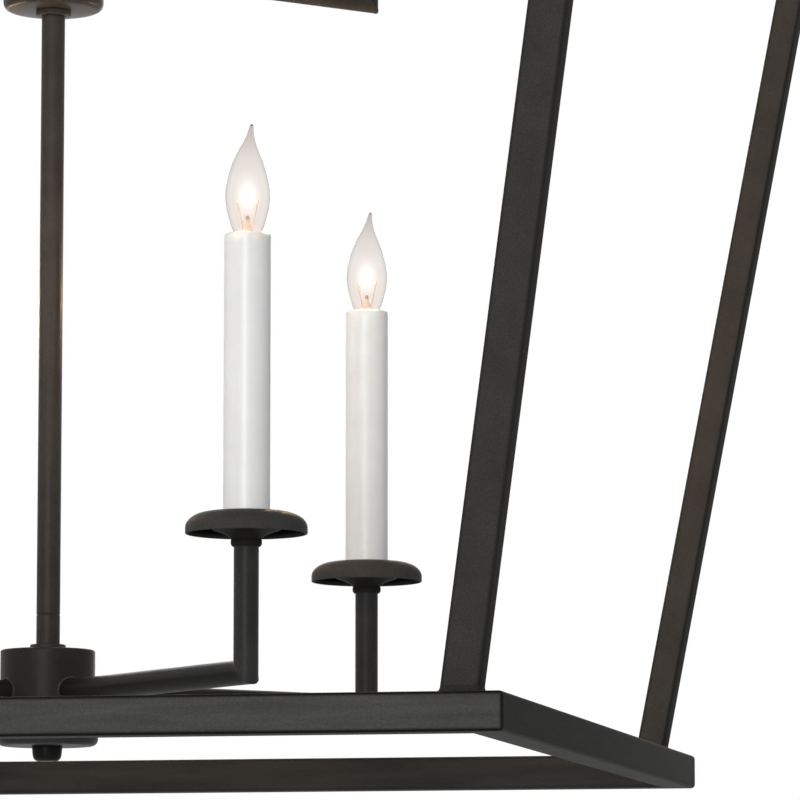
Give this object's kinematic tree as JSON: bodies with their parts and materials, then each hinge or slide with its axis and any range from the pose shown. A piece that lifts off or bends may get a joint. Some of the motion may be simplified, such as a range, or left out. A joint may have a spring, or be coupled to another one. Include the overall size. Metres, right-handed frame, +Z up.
{
  "type": "wrought iron chandelier",
  "caption": "Open-cage lantern chandelier: square tube frame, outward-leaning legs, tiered candle arms with turned-down pans, hung from a ceiling canopy by a short chain.",
  "frame": {"origin": "centre of the ceiling face of the mounting strap, midway between its two box screw holes", "axes": "+Z up into the ceiling, +X to the right along the mounting strap, -Y the front of the lantern"},
  "size_m": [0.8636, 0.8636, 1.2823],
  "materials": {
    "black_iron": "matt black powder coat, finely textured",
    "zinc_steel": "zinc plated",
    "green_screw": "green plated",
    "wire_nut_plastic": "moulded",
    "wire_insulation": "soft insulation",
    "socket_plastic": "moulded",
    "shell_brass": "pressed and threaded",
    "sleeve_white": "glossy white tube",
    "bulb_cap": "pressed and threaded, with glass stem and filament",
    "bulb_glass": "clear, flame tip"
  },
  "bodies": {
    "ceiling_mount": {"canopy": "black_iron", "mounting_strap": "zinc_steel", "ground_screw": "green_screw", "supply_nipple": "zinc_steel", "strap_locknut": "zinc_steel", "canopy_loop": "black_iron"},
    "collar": {"canopy_collar": "black_iron"},
    "link_1": {"chain_link_1": "black_iron"},
    "link_2": {"chain_link_2": "black_iron"},
    "link_3": {"chain_link_3": "black_iron"},
    "lantern": {"hang_loop": "black_iron", "top_plate": "black_iron", "roof_bars": "black_iron", "shoulder_rails": "black_iron", "bottom_rails": "black_iron", "legs": "black_iron", "upper_stem": "black_iron", "lower_stem": "black_iron", "upper_nipple": "zinc_steel", "lower_nipple": "zinc_steel", "lower_hub": "black_iron", "upper_hub": "black_iron", "lower_hub_cover": "black_iron", "upper_hub_cover": "black_iron", "stem_washers": "black_iron", "hub_locknuts": "zinc_steel", "hub_ring": "black_iron", "wire_nuts": "wire_nut_plastic", "arms": "black_iron", "arm_wires": "wire_insulation", "drip_pans": "black_iron", "candle_cups": "black_iron", "socket_stands": "zinc_steel", "sockets": "socket_plastic", "socket_shells": "shell_brass"},
    "finial": {"finial": "black_iron"},
    "sleeve_1": {"candle_sleeve_1": "sleeve_white"},
    "bulb_1": {"bulb_base_1": "bulb_cap", "bulb_glass_1": "bulb_glass"},
    "sleeve_2": {"candle_sleeve_2": "sleeve_white"},
    "bulb_2": {"bulb_base_2": "bulb_cap", "bulb_glass_2": "bulb_glass"},
    "sleeve_3": {"candle_sleeve_3": "sleeve_white"},
    "bulb_3": {"bulb_base_3": "bulb_cap", "bulb_glass_3": "bulb_glass"},
    "sleeve_4": {"candle_sleeve_4": "sleeve_white"},
    "bulb_4": {"bulb_base_4": "bulb_cap", "bulb_glass_4": "bulb_glass"},
    "sleeve_5": {"candle_sleeve_5": "sleeve_white"},
    "bulb_5": {"bulb_base_5": "bulb_cap", "bulb_glass_5": "bulb_glass"},
    "sleeve_6": {"candle_sleeve_6": "sleeve_white"},
    "bulb_6": {"bulb_base_6": "bulb_cap", "bulb_glass_6": "bulb_glass"},
    "sleeve_7": {"candle_sleeve_7": "sleeve_white"},
    "bulb_7": {"bulb_base_7": "bulb_cap", "bulb_glass_7": "bulb_glass"},
    "sleeve_8": {"candle_sleeve_8": "sleeve_white"},
    "bulb_8": {"bulb_base_8": "bulb_cap", "bulb_glass_8": "bulb_glass"}
  },
  "joints": [
    {"name": "collar_turn", "type": "hinge", "parent": "ceiling_mount", "child": "collar", "pos_m": [0, 0, -0.0293], "axis": [0, 0, 1], "continuous": true},
    {"name": "link_1_swing", "type": "hinge", "parent": "ceiling_mount", "child": "link_1", "pos_m": [0, 0, -0.062], "axis": [1, 0, 0], "range_deg": [-30, 30]},
    {"name": "link_2_swing", "type": "hinge", "parent": "link_1", "child": "link_2", "pos_m": [0, 0, -0.1057], "axis": [0, 1, 0], "range_deg": [-30, 30]},
    {"name": "link_3_swing", "type": "hinge", "parent": "link_2", "child": "link_3", "pos_m": [0, 0, -0.1494], "axis": [1, 0, 0], "range_deg": [-30, 30]},
    {"name": "lantern_swing", "type": "hinge", "parent": "link_3", "child": "lantern", "pos_m": [0, 0, -0.1931], "axis": [0, 1, 0], "range_deg": [-30, 30]},
    {"name": "finial_turn", "type": "hinge", "parent": "lantern", "child": "finial", "pos_m": [0, 0, -1.2742], "axis": [0, 0, 1], "continuous": true},
    {"name": "sleeve_1_lift", "type": "slide", "parent": "lantern", "child": "sleeve_1", "axis": [0, 0, 1], "range_m": [0, 0.008]},
    {"name": "bulb_1_unscrew", "type": "slide", "parent": "lantern", "child": "bulb_1", "axis": [0, 0, 1], "range_m": [0, 0.011]},
    {"name": "sleeve_2_lift", "type": "slide", "parent": "lantern", "child": "sleeve_2", "axis": [0, 0, 1], "range_m": [0, 0.008]},
    {"name": "bulb_2_unscrew", "type": "slide", "parent": "lantern", "child": "bulb_2", "axis": [0, 0, 1], "range_m": [0, 0.011]},
    {"name": "sleeve_3_lift", "type": "slide", "parent": "lantern", "child": "sleeve_3", "axis": [0, 0, 1], "range_m": [0, 0.008]},
    {"name": "bulb_3_unscrew", "type": "slide", "parent": "lantern", "child": "bulb_3", "axis": [0, 0, 1], "range_m": [0, 0.011]},
    {"name": "sleeve_4_lift", "type": "slide", "parent": "lantern", "child": "sleeve_4", "axis": [0, 0, 1], "range_m": [0, 0.008]},
    {"name": "bulb_4_unscrew", "type": "slide", "parent": "lantern", "child": "bulb_4", "axis": [0, 0, 1], "range_m": [0, 0.011]},
    {"name": "sleeve_5_lift", "type": "slide", "parent": "lantern", "child": "sleeve_5", "axis": [0, 0, 1], "range_m": [0, 0.008]},
    {"name": "bulb_5_unscrew", "type": "slide", "parent": "lantern", "child": "bulb_5", "axis": [0, 0, 1], "range_m": [0, 0.011]},
    {"name": "sleeve_6_lift", "type": "slide", "parent": "lantern", "child": "sleeve_6", "axis": [0, 0, 1], "range_m": [0, 0.008]},
    {"name": "bulb_6_unscrew", "type": "slide", "parent": "lantern", "child": "bulb_6", "axis": [0, 0, 1], "range_m": [0, 0.011]},
    {"name": "sleeve_7_lift", "type": "slide", "parent": "lantern", "child": "sleeve_7", "axis": [0, 0, 1], "range_m": [0, 0.008]},
    {"name": "bulb_7_unscrew", "type": "slide", "parent": "lantern", "child": "bulb_7", "axis": [0, 0, 1], "range_m": [0, 0.011]},
    {"name": "sleeve_8_lift", "type": "slide", "parent": "lantern", "child": "sleeve_8", "axis": [0, 0, 1], "range_m": [0, 0.008]},
    {"name": "bulb_8_unscrew", "type": "slide", "parent": "lantern", "child": "bulb_8", "axis": [0, 0, 1], "range_m": [0, 0.011]}
  ]
}
